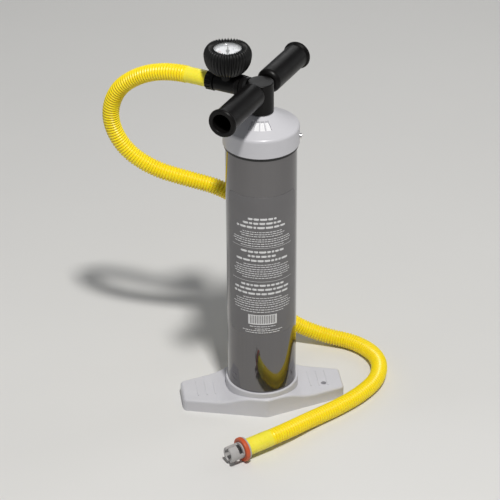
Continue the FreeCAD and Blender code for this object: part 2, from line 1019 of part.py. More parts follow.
def make_gauge_needle():
    """The pointer: a hub, a long tapered blade and a short tail."""
    low = cell("case_floor") + 21.9
    body = new_body("gauge_needle")
    turned(body, [(0, low), (2.2, low), (2.2, low + 1.1), (0, low + 1.1)])
    raised(body, [(0, -0.9), (15.5, -0.3), (15.5, 0.3), (0, 0.9)], 0.6, level=low)
    raised(body, [(-6, -1.3), (0, -0.9), (0, 0.9), (-6, 1.3)], 0.6, level=low)
    at_zero = Rotation(Vector(0, 0, 1), NEEDLE_HEADING - cell("handle_angle").value)
    return put_on_handle(body, lie=at_zero, out=cell("gauge_offset"))


NEEDLE_HEADING = 82


def make_gauge_sector():
    """The toothed sector that turns the pinion, drawn with its pitch face plain."""
    floor = cell("case_floor")
    body = new_body("gauge_sector")
    low = floor + 7.3
    turned(body, [(0.85, low), (2.2, low), (2.2, low + 2.4), (0.85, low + 2.4)])
    turned(body, [(2, low), (8.8, low), (8.8, low + 2.4), (2, low + 2.4)], angle=84, swing=-120)
    placed = put_on_handle(body, out=cell("gauge_offset") + 11)
    return placed


def make_bourdon_tube():
    """The curved tube that straightens under pressure."""
    tube = doc.addObject("Part::Torus", "bourdon_tube")
    tube.Label = "bourdon_tube"
    tube.Radius1 = 18
    tube.Radius2 = 1.6
    tube.Angle3 = 250
    tube.Placement = Placement(Vector(0, 0, cell("case_floor").value + 4.5), Rotation())
    local = Placement(Vector(0, cell("gauge_offset").value, cell("case_floor").value + 4.5), Rotation())
    tube.Placement = Placement(Vector(), HANDLE_TURN).multiply(local)
    return tube


# ---------------------------------------------------------------- hose and nozzle

# The hose's route, from the cuff at the handle to the cuff of the nozzle. It leaves level,
# loops beside the pump, falls behind the barrel and comes round on the floor to the front.
# The first two points lie on the outlet's axis, and the last two on the nozzle's.
HOSE_ROUTE = [
    (-84.6, 57.9, 455),
    (-103.6, 70.9, 455),
    (-139, 96, 441),
    (-170, 116, 412),
    (-181, 125, 367),
    (-164, 122, 323),
    (-128, 113, 295),
    (-85, 103, 282),
    (-41, 94, 270),
    (-3, 90, 243),
    (12, 93, 199),
    (11, 101, 153),
    (13, 109, 108),
    (29, 115, 65),
    (61, 116, 31),
    (103, 107, 14),
    (145, 88, 11),
    (169, 47, 11),
    (159, 0, 11),
    (128, -34, 11),
    (90, -60, 11),
    (50, -82, 11.5),
    (12.8, -109.3, 16.1),
    (-7, -119, 16.1),
]


def rounded_path(points):
    """Straight runs joined by tangent arcs, each as large as its two runs allow."""
    points = [Vector(*p) for p in points]
    edges = []
    radii = []
    last = points[0]
    for before, corner, after in zip(points, points[1:], points[2:]):
        back = before - corner
        ahead = after - corner
        reach = 0.45 * min(back.Length, ahead.Length)
        turn = math.pi - back.getAngle(ahead)
        radii.append(reach / math.tan(turn / 2))
        start = corner + back.normalize() * reach
        end = corner + ahead.normalize() * reach
        inward = (back + ahead).normalize()
        middle_reach = radii[-1] * (1 / math.cos(turn / 2) - 1)
        edges.append(Part.LineSegment(last, start).toShape())
        edges.append(Part.Arc(start, corner + inward * middle_reach, end).toShape())
        last = end
    edges.append(Part.LineSegment(last, points[-1]).toShape())
    return Part.Wire(edges), radii


def make_hose():
    """The hose between its two cuffs, a plain tube."""
    path, radii = rounded_path(HOSE_ROUTE)
    outside = cell("hose_radius").value
    inside = outside - cell("hose_wall").value
    start = Vector(*HOSE_ROUTE[0])
    heading = Vector(*HOSE_ROUTE[1]) - start
    solids = []
    for radius in (outside, inside):
        section = Part.Wire(Part.makeCircle(radius, start, heading))
        solids.append(path.makePipeShell([section], True, False))
    hose = doc.addObject("Part::Feature", "hose")
    hose.Label = "hose"
    hose.Shape = solids[0].cut(solids[1])
    expected = math.pi * (outside**2 - inside**2) * path.Length
    print(f"hose length {path.Length:.1f} mm, smallest radius {min(radii):.1f} mm")
    print("hose radii", [round(r) for r in radii])
    print(f"hose volume {hose.Shape.Volume:.0f} mm3, section times length {expected:.0f} mm3")
    return hose


def put_on_nozzle(body, roll=0):
    """Lays a body along the nozzle's axis, from the hose's end, rolled about that axis."""
    heading = Rotation(Vector(0, 0, 1), cell("nozzle_heading").value)
    rolled = Rotation(Vector(0, 0, 1), roll)
    start = Vector(HOSE_ROUTE[-1][0], HOSE_ROUTE[-1][1], cell("nozzle_height").value)
    body.Placement = Placement(start, heading.multiply(LIE_ACROSS).multiply(rolled))
    return body


def make_hose_cuff_end():
    """The hose's smooth end, on the nozzle's barb."""
    outside = 11.2
    hose_inside = cell("hose_radius") - cell("hose_wall")
    body = lathe(
        "hose_cuff_end",
        [
            (hose_inside, 0),
            (cell("hose_radius"), 0),
            (outside, 2),
            (outside, 37),
            (8.5, 37),
            (8.5, 6),
        ],
    )
    return put_on_nozzle(body)


def make_nozzle():
    """The bayonet nozzle: barb, flange and tube with two curved slots and a stepped mouth."""
    radius = cell("nozzle_radius")
    bore = 7.6
    tip = 64
    body = lathe(
        "nozzle",
        [
            (6.2, 8),
            (8.0, 8),
            (8.4, 12),
            (8.4, 37.1),
            (14.8, 37.1),
            (14.8, 39),
            (radius, 39),
            (radius, tip - 0.8),
            (radius - 0.8, tip),
            (bore, tip),
            (bore, 44),
            (6.2, 40),
        ],
    )
    # each lug's way: in at a cut in the mouth, then round in a slot
    slot_low = 46.6
    slot_high = 52.6
    for first in (0, 180):
        turned(
            body,
            [(bore - 1, slot_low), (radius + 1, slot_low), (radius + 1, slot_high), (bore - 1, slot_high)],
            cut=True,
            angle=95,
            swing=first + 142.5,
        )
        turned(
            body,
            [(bore - 1, slot_low), (radius + 1, slot_low), (radius + 1, tip + 1), (bore - 1, tip + 1)],
            cut=True,
            angle=40,
            swing=first + 195,
        )
    rod(body, 1.3, (0, -8, 56), (0, 8, 56))
    rod(body, 2.6, (0, 0, 53), (0, 0, 58))
    return put_on_nozzle(body)


def make_nozzle_gasket():
    radius = cell("gasket_radius")
    inside = cell("nozzle_radius") + 0.05
    edge = 1.6
    body = lathe(
        "nozzle_gasket",
        [
            (inside, 39.1),
            (radius - edge, 39.1, edge),
            (radius, 39.1 + edge),
            (radius, 45 - edge, edge),
            (radius - edge, 45),
            (inside + 1.2, 45),
            (inside, 44),
        ],
    )
    return put_on_nozzle(body)


# ---------------------------------------------------------------- all pieces


def make_all():
    ring_height = cell("base_floor") + 5.6
    plug_radius = cell("barrel_radius") - cell("barrel_wall") - 1.45
    seal_height = cell("cap_top") - 33.2
    return [
        make_foot_base(),
        make_base_screws(),
        make_barrel(),
        make_bottom_plug(),
        ring("bottom_plug_ring", plug_radius, 1.4, ring_height),
        make_label(),
        make_cap_ring(),
        make_top_cap(),
        make_inlet_filters(),
        make_cap_screws(),
        make_shaft_guide(),
        ring("shaft_seal", 9.4, 1.25, seal_height),
        make_shaft_wiper(),
        make_shaft(),
        make_piston_body(),
        make_piston_plate(),
        make_piston_nut(),
        make_piston_seal(),
        make_check_disc(),
        make_check_spring(),
        make_stroke_bumper(),
        make_handle_hub(),
        make_grip("grip_front", -1),
        make_grip("grip_rear", 1),
        make_union_ring(),
        make_union_nut(),
        make_union_seal(),
        make_outlet_tee(),
        make_hose_nut(),
        make_hose_cuff_top(),
        make_gauge_stem(),
        make_gauge_case(),
        make_gauge_boot(),
        make_gauge_lens(),
        make_gauge_dial(),
        make_gauge_movement(),
        make_gauge_pinion(),
        make_gauge_needle(),
        make_gauge_sector(),
        make_bourdon_tube(),
        make_hose(),
        make_hose_cuff_end(),
        make_nozzle(),
        make_nozzle_gasket(),
    ]


pieces = make_all()
doc.recompute()

failed = [o.Label for o in doc.Objects if {"Invalid", "Error"} & set(o.State)]
for piece in pieces:
    if piece.Shape.isNull() or not piece.Shape.isValid():
        failed.append(piece.Label)
if failed:
    raise SystemExit(f"these objects failed: {failed}")

os.makedirs("parts", exist_ok=True)
for piece in pieces:
    piece.Shape.exportStep(f"parts/{piece.Label}.step")
    box = piece.Shape.BoundBox
    low = (round(box.XMin, 1), round(box.YMin, 1), round(box.ZMin, 1))
    high = (round(box.XMax, 1), round(box.YMax, 1), round(box.ZMax, 1))
    print(piece.Label, len(piece.Shape.Solids), round(piece.Shape.Volume), low, high)
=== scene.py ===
import json
import math
import random

import bmesh
import bpy
from mathutils import Matrix, Vector


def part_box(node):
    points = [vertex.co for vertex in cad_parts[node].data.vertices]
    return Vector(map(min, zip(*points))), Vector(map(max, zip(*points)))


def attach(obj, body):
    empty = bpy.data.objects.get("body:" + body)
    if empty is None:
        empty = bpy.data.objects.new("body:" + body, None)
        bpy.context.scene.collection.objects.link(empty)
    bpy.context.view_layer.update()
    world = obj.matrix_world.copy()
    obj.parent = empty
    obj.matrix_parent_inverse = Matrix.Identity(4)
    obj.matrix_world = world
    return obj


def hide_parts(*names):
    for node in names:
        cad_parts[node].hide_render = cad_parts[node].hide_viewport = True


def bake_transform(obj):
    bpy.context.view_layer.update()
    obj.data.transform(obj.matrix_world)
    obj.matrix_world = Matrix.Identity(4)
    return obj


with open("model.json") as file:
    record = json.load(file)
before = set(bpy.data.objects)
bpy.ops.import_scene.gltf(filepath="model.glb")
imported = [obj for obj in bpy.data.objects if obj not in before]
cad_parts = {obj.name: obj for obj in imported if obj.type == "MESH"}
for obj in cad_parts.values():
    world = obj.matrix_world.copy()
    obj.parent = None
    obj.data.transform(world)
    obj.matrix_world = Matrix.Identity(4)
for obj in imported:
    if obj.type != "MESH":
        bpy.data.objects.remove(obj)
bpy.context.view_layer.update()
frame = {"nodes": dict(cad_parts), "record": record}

# The inflation pump's visual model: materials on the CAD nodes, and pieces for what the CAD
# keeps plain. Metres, +Z up, origin on the floor under the barrel.

MM = 0.001
TURN = 2 * math.pi


def middle_of(node):
    """The centre of a CAD node's box."""
    low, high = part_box(node)
    return (low + high) / 2


# ---------------------------------------------------------------- camera, floor and light

FLOOR_REACH = 30
WORLD_COLOUR = (0.93, 0.96, 1.0, 1)
WORLD_STRENGTH = 0.17
LIGHT_TARGET = (0, 0, 0.3)

# Each light's name, place, size, power in watts, and colour.
LIGHTS = [
    ("Key", (0.12, -1.5, 3.35), (0.28, 0.28), 108, (1, 0.985, 0.96)),
    ("Side_left", (-2.4, 0.3, 1.3), (0.8, 2.2), 5, (0.95, 0.97, 1)),
    ("Side_right", (2.4, 0.6, 1.3), (0.8, 2.2), 5, (1, 1, 1)),
    ("Back", (0.6, 2.6, 1.8), (1.8, 1.0), 8, (1, 1, 1)),
]


def make_camera():
    """The camera stands in front of the pump and above it, and looks down at it."""
    data = bpy.data.cameras.new("Camera")
    data.sensor_width = 36
    data.lens = 142.86
    data.clip_start = 0.05
    data.clip_end = 60
    camera = bpy.data.objects.new("Camera", data)
    bpy.context.collection.objects.link(camera)
    distance = 2.1678
    height = 1.554
    azimuth = math.radians(7.92)
    heading = math.radians(7.532)
    pitch = math.radians(31.474)
    roll = math.radians(-0.41)
    camera.location = (-distance * math.sin(azimuth), -distance * math.cos(azimuth), height)
    turn = Matrix.Rotation(-heading, 3, "Z")
    tilt = Matrix.Rotation(math.pi / 2 - pitch, 3, "X")
    lean = Matrix.Rotation(roll, 3, "Z")
    camera.rotation_euler = (turn @ tilt @ lean).to_euler()
    bpy.context.scene.camera = camera


def add_light(name, place, size, power, colour):
    """A rectangular soft light that faces the pump."""
    data = bpy.data.lights.new(name, "AREA")
    data.shape = "RECTANGLE"
    data.size, data.size_y = size
    data.energy = power
    data.color = colour
    light = bpy.data.objects.new(name, data)
    bpy.context.collection.objects.link(light)
    light.location = place
    facing = Vector(LIGHT_TARGET) - Vector(place)
    light.rotation_euler = facing.to_track_quat("-Z", "Y").to_euler()


def make_stage():
    """A plain pale floor, a pale world and soft studio lights."""
    mesh = bpy.data.meshes.new("Floor")
    signs = ((-1, -1), (1, -1), (1, 1), (-1, 1))
    corners = [(x * FLOOR_REACH, y * FLOOR_REACH, 0) for x, y in signs]
    mesh.from_pydata(corners, [], [(0, 1, 2, 3)])
    floor = bpy.data.objects.new("Floor", mesh)
    bpy.context.collection.objects.link(floor)
    floor.data.materials.append(floor_material())
    world = bpy.data.worlds.new("Studio")
    scene = bpy.context.scene
    scene.world = world
    scene.view_settings.view_transform = "Standard"
    world.use_nodes = True
    background = world.node_tree.nodes["Background"]
    background.inputs["Color"].default_value = WORLD_COLOUR
    background.inputs["Strength"].default_value = WORLD_STRENGTH
    for light in LIGHTS:
        add_light(*light)


# ---------------------------------------------------------------- materials

# Most of a noise texture's values lie between these two.
NOISE_LOW = 0.3
NOISE_HIGH = 0.7


class Surface:
    """A node material: a principled shader whose inputs come from procedural textures."""

    def __init__(self, name, roughness=0.5, **plain):
        self.material = bpy.data.materials.new(name)
        self.material.use_nodes = True
        self.tree = self.material.node_tree
        self.shader = self.tree.nodes["Principled BSDF"]
        self.set("Roughness", roughness)
        for socket, value in plain.items():
            self.set(socket.replace("_", " "), value)
        coordinates = self.node("ShaderNodeTexCoord")
        self.place = coordinates.outputs["Object"]
        self.last_normal = None

    def node(self, kind, **settings):
        node = self.tree.nodes.new(kind)
        for name, value in settings.items():
            setattr(node, name, value)
        return node

    def set(self, socket, value):
        """Sets an input of the shader."""
        self.feed(self.shader, socket, value)

    def feed(self, node, socket, value):
        """Sets an input of a node to a plain value, or links it to the output that feeds it."""
        target = node.inputs[socket]
        if isinstance(value, bpy.types.NodeSocket):
            self.tree.links.new(value, target)
        else:
            target.default_value = value

    def noise(self, scale, detail=3, roughness=0.55, stretch=(1, 1, 1)):
        """Cloudy noise of a scale, in cycles per metre, squeezed along an axis by stretch."""
        mapping = self.node("ShaderNodeMapping")
        mapping.inputs["Scale"].default_value = stretch
        self.feed(mapping, "Vector", self.place)
        node = self.node("ShaderNodeTexNoise")
        self.feed(node, "Vector", mapping.outputs["Vector"])
        self.feed(node, "Scale", scale)
        self.feed(node, "Detail", detail)
        self.feed(node, "Roughness", roughness)
        return node.outputs["Fac"]

    def attribute(self, name):
        node = self.node("ShaderNodeAttribute", attribute_name=name)
        return node.outputs["Fac"]

    def fit(self, value, low, high, to_low=0.0, to_high=1.0):
        """The value, taken from one range to another and held there."""
        node = self.node("ShaderNodeMapRange", clamp=True)
        for socket, amount in zip(
            ("Value", "From Min", "From Max", "To Min", "To Max"),
            (value, low, high, to_low, to_high),
        ):
            self.feed(node, socket, amount)
        return node.outputs["Result"]

    def spread(self, noise, to_low=0.0, to_high=1.0):
        """Noise, stretched to fill a range."""
        return self.fit(noise, NOISE_LOW, NOISE_HIGH, to_low, to_high)

    def maths(self, operation, first, second=0.0):
        node = self.node("ShaderNodeMath", operation=operation)
        for socket, amount in enumerate((first, second)):
            self.feed(node, socket, amount)
        return node.outputs["Value"]

    def blend(self, amount, first, second):
        """A mix of two colours. Inputs 0, 6 and 7 are its amount and its colours."""
        node = self.node("ShaderNodeMix", data_type="RGBA")
        self.feed(node, 0, amount)
        self.feed(node, 6, first if isinstance(first, bpy.types.NodeSocket) else (*first, 1))
        self.feed(node, 7, second if isinstance(second, bpy.types.NodeSocket) else (*second, 1))
        return node.outputs[2]

    def bump(self, height, depth, strength=1.0):
        """Adds relief of that depth, in metres."""
        node = self.node("ShaderNodeBump")
        self.feed(node, "Height", height)
        self.feed(node, "Distance", depth)
        self.feed(node, "Strength", strength)
        if self.last_normal is not None:
            self.feed(node, "Normal", self.last_normal)
        self.last_normal = node.outputs["Normal"]
        self.set("Normal", self.last_normal)

    def cover(self, amount, colour):
        """Lays a second colour over the base colour."""
        base = self.shader.inputs["Base Color"].links[0].from_socket
        self.set("Base Color", self.blend(amount, base, colour))


def floor_material():
    made = Surface("Floor_pale", roughness=0.75)
    cloud = made.spread(made.noise(1.2, detail=4))
    made.set("Base Color", made.blend(cloud, (0.68, 0.675, 0.66), (0.71, 0.705, 0.69)))
    return made.material


def moulded_plastic(name, colour, roughness, shift=0.08, grain=2600, grain_depth=0.02 * MM):
    """Moulded plastic: a slow shift of tone, a fine spark-eroded grain and faint scuffs."""
    made = Surface(name)
    dark = [c * (1 - shift) for c in colour]
    light = [min(c * (1 + shift), 1) for c in colour]
    tone = made.spread(made.noise(14, detail=3))
    made.set("Base Color", made.blend(tone, dark, light))
    patches = made.noise(45, detail=4)
    made.set("Roughness", made.spread(patches, roughness - 0.06, roughness + 0.07))
    made.bump(made.noise(grain, detail=2), grain_depth)
    return made


def light_grey_plastic():
    """Injection-moulded polypropylene: a satin skin with slow flow marks."""
    made = moulded_plastic("Light_grey_plastic", (0.565, 0.562, 0.592), 0.36, shift=0.025)
    made.set("Subsurface Weight", 0.03)
    made.set("Subsurface Radius", (0.002, 0.002, 0.002))
    return made.material


def black_plastic():
    """Black ABS with a fine spark-eroded grain and a little dust."""
    made = moulded_plastic(
        "Black_plastic",
        (0.0046, 0.0042, 0.0042),
        0.34,
        shift=0.15,
        grain=1800,
        grain_depth=0.014 * MM,
    )
    made.set("Specular IOR Level", 0.18)
    dust = made.fit(made.noise(700, detail=5, roughness=0.7), 0.62, 0.8)
    made.cover(made.maths("MULTIPLY", dust, 0.12), (0.04, 0.034, 0.030))
    return made.material


def black_rubber():
    """Matt rubber, with bloom on it in patches."""
    made = moulded_plastic(
        "Black_rubber", (0.005, 0.005, 0.005), 0.4, shift=0.2, grain=3200, grain_depth=0.02 * MM
    )
    made.set("Specular IOR Level", 0.5)
    bloom = made.fit(made.noise(260, detail=5, roughness=0.65), 0.5, 0.8, 0.0, 0.3)
    made.cover(bloom, (0.013, 0.013, 0.013))
    return made.material


def filter_felt():
    """Pale pressed felt: short crossed fibres over soft clouds."""
    made = Surface("Filter_felt", Sheen_Weight=0.4, Sheen_Roughness=0.5)
    fibres = made.noise(2600, detail=6, roughness=0.75, stretch=(1, 0.35, 1))
    crossed = made.noise(2600, detail=6, roughness=0.75, stretch=(0.35, 1, 1))
    weave = made.maths("ADD", fibres, crossed)
    tone = made.fit(weave, 0.7, 1.3)
    made.set("Base Color", made.blend(tone, (0.70, 0.70, 0.72), (0.92, 0.92, 0.93)))
    made.set("Roughness", made.fit(weave, 0.7, 1.3, 0.95, 0.8))
    made.bump(weave, 0.12 * MM)
    return made.material


def barrel_metal():
    """Dark anodised tube, polished: faint drawn lines along it in a smooth dark mirror."""
    made = Surface("Barrel_dark_grey", Metallic=0.92)
    drawn = made.noise(420, detail=3, stretch=(1, 1, 0.012))
    cloud = made.spread(made.noise(7, detail=2))
    lines = made.spread(drawn)
    tone = made.blend(cloud, (0.165, 0.160, 0.164), (0.180, 0.175, 0.179))
    faint = made.maths("MULTIPLY", lines, 0.2)
    made.set("Base Color", made.blend(faint, tone, (0.215, 0.209, 0.213)))
    made.set("Roughness", made.spread(drawn, 0.045, 0.075))
    return made.material


def label_film():
    """Vinyl film with an eggshell finish, a little lighter than the tube."""
    made = Surface("Label_film", Coat_Weight=0.1, Coat_Roughness=0.25)
    cloud = made.spread(made.noise(20, detail=3))
    made.set("Base Color", made.blend(cloud, (0.128, 0.124, 0.128), (0.140, 0.136, 0.140)))
    made.set("Roughness", made.spread(made.noise(90, detail=3), 0.34, 0.44))
    made.bump(made.noise(900, detail=2), 0.008 * MM)
    return made.material


def label_print():
    """The label's white print, with a faint speckle."""
    made = Surface("Label_print")
    speck = made.spread(made.noise(900, detail=2))
    made.set("Base Color", made.blend(speck, (0.66, 0.66, 0.67), (0.80, 0.80, 0.81)))
    made.set("Roughness", made.fit(speck, 0, 1, 0.42, 0.55))
    return made.material


def metal(name, colour, roughness, scratches=900, stretch=(1, 1, 1)):
    """Bare metal with fine scratches, which are drawn out along an axis by stretch."""
    made = Surface(name, Metallic=1.0)
    lines = made.noise(scratches, detail=4, stretch=stretch)
    dull = [c * 0.8 for c in colour]
    made.set("Base Color", made.blend(made.spread(lines), dull, colour))
    made.set("Roughness", made.spread(lines, roughness, roughness + 0.14))
    made.bump(lines, 0.01 * MM)
    return made.material


def hose_yellow():
    """Soft yellow plastic that scatters light a little under its skin, with painted shade
    darkening it in the grooves.
    """
    made = Surface(
        "Hose_yellow",
        Subsurface_Weight=0.12,
        Subsurface_Radius=(0.004, 0.0025, 0.0004),
        Subsurface_Scale=1.0,
    )
    tone = made.spread(made.noise(30, detail=4))
    colour = made.blend(tone, (0.97, 0.77, 0.005), (0.99, 0.82, 0.010))
    # Painted shade: the colour turns darker and deeper yellow where a point lies deep in a
    # groove.
    groove = made.maths("MULTIPLY", made.attribute("groove"), 0.6)
    colour = made.blend(groove, colour, (0.86, 0.55, 0.003))
    grime = made.fit(made.noise(120, detail=5, roughness=0.7), 0.66, 0.9, 0.0, 0.1)
    made.set("Base Color", made.blend(grime, colour, (0.60, 0.42, 0.02)))
    made.set("Roughness", made.spread(made.noise(200, detail=3), 0.30, 0.42))
    made.bump(made.noise(1500, detail=2), 0.01 * MM)
    return made.material


def cuff_yellow():
    """The hose's smooth cuffs: paler and more see-through than the hose."""
    made = Surface(
        "Hose_cuff_yellow", Subsurface_Weight=0.4, Subsurface_Radius=(0.006, 0.005, 0.002)
    )
    tone = made.spread(made.noise(30, detail=4))
    made.set("Base Color", made.blend(tone, (0.88, 0.76, 0.035), (0.92, 0.82, 0.075)))
    made.set("Roughness", made.spread(made.noise(160, detail=3), 0.24, 0.36))
    made.bump(made.noise(1500, detail=2), 0.01 * MM)
    return made.material


def glass():
    """A thin clear window: mostly see-through, with smears in its gloss."""
    made = Surface("Lens_clear", IOR=1.49, Alpha=0.16)
    smear = made.fit(made.noise(160, detail=4), 0.35, 0.75)
    made.set("Roughness", made.fit(smear, 0, 1, 0.02, 0.08))
    made.set("Base Color", made.blend(smear, (0.90, 0.93, 0.94), (0.97, 0.98, 0.98)))
    return made.material


def dial_card():
    """The gauge's pale card, with a slight tooth."""
    made = Surface("Dial_card", roughness=0.5)
    fibre = made.spread(made.noise(700, detail=4))
    made.set("Base Color", made.blend(fibre, (0.78, 0.79, 0.82), (0.86, 0.87, 0.90)))
    made.bump(fibre, 0.01 * MM)
    return made.material


def ink(name, colour):
    """Matt ink or paint with a faint speckle."""
    made = Surface(name, roughness=0.45)
    speck = made.spread(made.noise(2200, detail=3))
    made.set("Base Color", made.blend(speck, colour, [min(c + 0.03, 1) for c in colour]))
    return made.material


MATERIAL_OF_SLOT = {
    "grey_plastic": light_grey_plastic(),
    "barrel_paint": barrel_metal(),
    "label_film": label_film(),
    "screw_steel": metal("Screw_steel", (0.62, 0.62, 0.64), 0.22),
    "filter_felt": filter_felt(),
    "white_acetal": moulded_plastic("White_acetal", (0.72, 0.71, 0.68), 0.35).material,
    "soft_ring": moulded_plastic("Nitrile_ring", (0.012, 0.012, 0.013), 0.4).material,
    "black_rubber": black_rubber(),
    "shaft_aluminium": metal("Shaft_aluminium", (0.80, 0.80, 0.82), 0.16, 700, (1, 1, 0.01)),
    "spring_steel": metal("Spring_steel", (0.6, 0.6, 0.62), 0.2),
    "black_plastic": black_plastic(),
    "bright_steel": metal("Bright_steel", (0.75, 0.75, 0.77), 0.1),
    "brass": metal("Brass", (0.78, 0.57, 0.25), 0.25),
    "dial_face": dial_card(),
    "needle_paint": ink("Needle_black", (0.015, 0.015, 0.015)),
    "clear_lens": glass(),
    "hose_yellow": cuff_yellow(),
    "nozzle_grey": moulded_plastic("Nozzle_grey", (0.44, 0.43, 0.425), 0.34, shift=0.06).material,
    "gasket_orange": moulded_plastic(
        "Orange_rubber", (0.62, 0.10, 0.028), 0.42, shift=0.12, grain=1500
    ).material,
}


def paint_cad_nodes():
    """Gives each CAD node the material of its slot in the record."""
    for part in frame["record"]["subparts"]:
        node = bpy.data.objects[frame["nodes"][part["node"]].name]
        node.data.materials.clear()
        node.data.materials.append(MATERIAL_OF_SLOT[part["material_slot"]])


# ---------------------------------------------------------------- making pieces


def add_piece(name, points, faces, material, body, smooth=True):
    """A mesh object that rides on a body; body is None for a piece that is left on no body, like
    the hose between the handle and the nozzle.
    """
    mesh = bpy.data.meshes.new(name)
    mesh.from_pydata([tuple(p) for p in points], [], faces)
    mesh.validate()
    work = bmesh.new()
    work.from_mesh(mesh)
    bmesh.ops.recalc_face_normals(work, faces=work.faces)
    work.to_mesh(mesh)
    work.free()
    for polygon in mesh.polygons:
        polygon.use_smooth = smooth
    mesh.materials.append(material)
    piece = bpy.data.objects.new(name, mesh)
    bpy.context.collection.objects.link(piece)
    if body:
        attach(piece, body)
    return piece


def ring_faces(rings, around, closed=False):
    """The quads between rings of points, each ring closed on itself."""
    faces = []
    for ring in range(rings if closed else rings - 1):
        first = ring * around
        second = (ring + 1) % rings * around
        for step in range(around):
            after = (step + 1) % around
            faces.append((first + step, first + after, second + after, second + step))
    return faces


# ---------------------------------------------------------------- hose

# The route of the hose, in millimetres: from the cuff at the handle, round in the air and down
# behind the barrel, then on the floor to the nozzle's cuff.
HOSE_ROUTE = [
    (-84.6, 57.9, 455),
    (-103.6, 70.9, 455),
    (-139, 96, 441),
    (-170, 116, 412),
    (-181, 125, 367),
    (-164, 122, 323),
    (-128, 113, 295),
    (-85, 103, 282),
    (-41, 94, 270),
    (-3, 90, 243),
    (12, 93, 199),
    (11, 101, 153),
    (13, 109, 108),
    (29, 115, 65),
    (61, 116, 31),
    (103, 107, 14),
    (145, 88, 11),
    (169, 47, 11),
    (159, 0, 11),
    (128, -34, 11),
    (90, -60, 11),
    (50, -82, 11.5),
    (12.8, -109.3, 16.1),
    (-7, -119, 16.1),
]
HOSE_RADIUS = 11 * MM
HOSE_PITCH = 3.9 * MM
HOSE_GROOVE_DEPTH = 1.4 * MM
HOSE_GROOVE_SHAPE = 1.2  # over 1: the grooves are narrower than the ridges between them
HOSE_RINGS_PER_GROOVE = 8
HOSE_AROUND = 40


def hose_line():
    """Close points on the hose's centreline."""
    curve = bpy.data.curves.new("Hose_line", "CURVE")
    curve.dimensions = "3D"
    curve.resolution_u = 24
    spline = curve.splines.new("NURBS")
    spline.points.add(len(HOSE_ROUTE) - 1)
    for point, place in zip(spline.points, HOSE_ROUTE):
        point.co = (*(c * MM for c in place), 1)
    spline.order_u = 3
    spline.use_endpoint_u = True
    holder = bpy.data.objects.new("Hose_line", curve)
    bpy.context.collection.objects.link(holder)
    bpy.context.view_layer.update()
    mesh = bpy.data.meshes.new_from_object(holder)
    line = [v.co.copy() for v in mesh.vertices]
    bpy.data.objects.remove(holder)
    bpy.data.curves.remove(curve)
    bpy.data.meshes.remove(mesh)
    return line


def even_steps(line, step):
    """Points at even steps along a line."""
    made = [line[0].copy()]
    left = step
    for start, end in zip(line, line[1:]):
        length = (end - start).length
        at = left
        while at <= length:
            made.append(start.lerp(end, at / length))
            at += step
        left = at - length
    return made


def make_hose():
    """A corrugated tube. An attribute of its points says how deep in a groove each one is; the
    hose's material paints shade into the grooves from it.
    """
    line = hose_line()
    path = even_steps(line, HOSE_PITCH / HOSE_RINGS_PER_GROOVE)
    count = len(path)
    points = []
    grooves = []
    tangent = (path[1] - path[0]).normalized()
    side = tangent.cross(Vector((0, 0, 1))).normalized()
    plain_ends = HOSE_RINGS_PER_GROOVE
    for index, place in enumerate(path):
        ahead = path[min(index + 1, count - 1)] - path[max(index - 1, 0)]
        tangent = ahead.normalized()
        side = (side - tangent * side.dot(tangent)).normalized()
        other = tangent.cross(side)
        fade = min(index / plain_ends, (count - 1 - index) / plain_ends, 1)
        phase = TURN * index / HOSE_RINGS_PER_GROOVE
        groove = (0.5 - 0.5 * math.cos(phase)) ** HOSE_GROOVE_SHAPE * fade
        radius = HOSE_RADIUS - HOSE_GROOVE_DEPTH * groove
        for step in range(HOSE_AROUND):
            angle = TURN * step / HOSE_AROUND
            points.append(place + (side * math.cos(angle) + other * math.sin(angle)) * radius)
            grooves.append(groove)
    faces = ring_faces(count, HOSE_AROUND)
    for end in (0, count - 1):
        first = end * HOSE_AROUND
        faces.append(tuple(range(first, first + HOSE_AROUND)))
    hose = add_piece("Hose", points, faces, hose_yellow(), None)
    values = hose.data.attributes.new("groove", "FLOAT", "POINT")
    values.data.foreach_set("value", grooves)
    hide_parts("hose")
    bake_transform(hose)


# ---------------------------------------------------------------- gauge


def spun(profile, around, place, groove=None):
    """Rings of points about an upright axis. Grooves sink along the profile's normal."""
    points = []
    count = len(profile)
    for index, (radius, height, weight) in enumerate(profile):
        before = profile[index - 1]
        after = profile[(index + 1) % count]
        run = after[0] - before[0]
        rise = after[1] - before[1]
        length = math.hypot(run, rise) or 1
        out = rise / length
        up = -run / length
        for step in range(around):
            share = step / around
            sink = groove(share) * weight if groove else 0
            reach = radius - out * sink
            angle = TURN * share
            lift = height - up * sink
            offset = Vector((reach * math.cos(angle), reach * math.sin(angle), lift))
            points.append(place + offset * MM)
    return points


def arc_profile(start, end, bulge, steps, weights):
    """Points on an arc that bulges outwards, with the grooves' share at its two ends."""
    (r0, z0), (r1, z1) = start, end
    made = []
    length = math.hypot(r1 - r0, z1 - z0)
    out = ((z1 - z0) / length, -(r1 - r0) / length)
    for step in range(steps):
        share = step / steps
        lift = bulge * 4 * share * (1 - share)
        weight = weights[0] + (weights[1] - weights[0]) * share
        radius = r0 + (r1 - r0) * share + out[0] * lift
        height = z0 + (z1 - z0) * share + out[1] * lift
        made.append((radius, height, weight))
    return made


BOOT_RIBS = 40
BOOT_STEPS_PER_RIB = 12
BOOT_GROOVE_DEPTH = 2.5
BOOT_GROOVE_SHAPE = 0.62  # under 1: the grooves are wider than the ribs
BOOT_BORE = 8.2
BOOT_CAVITY = 22.3
BOOT_WINDOW = 17.3


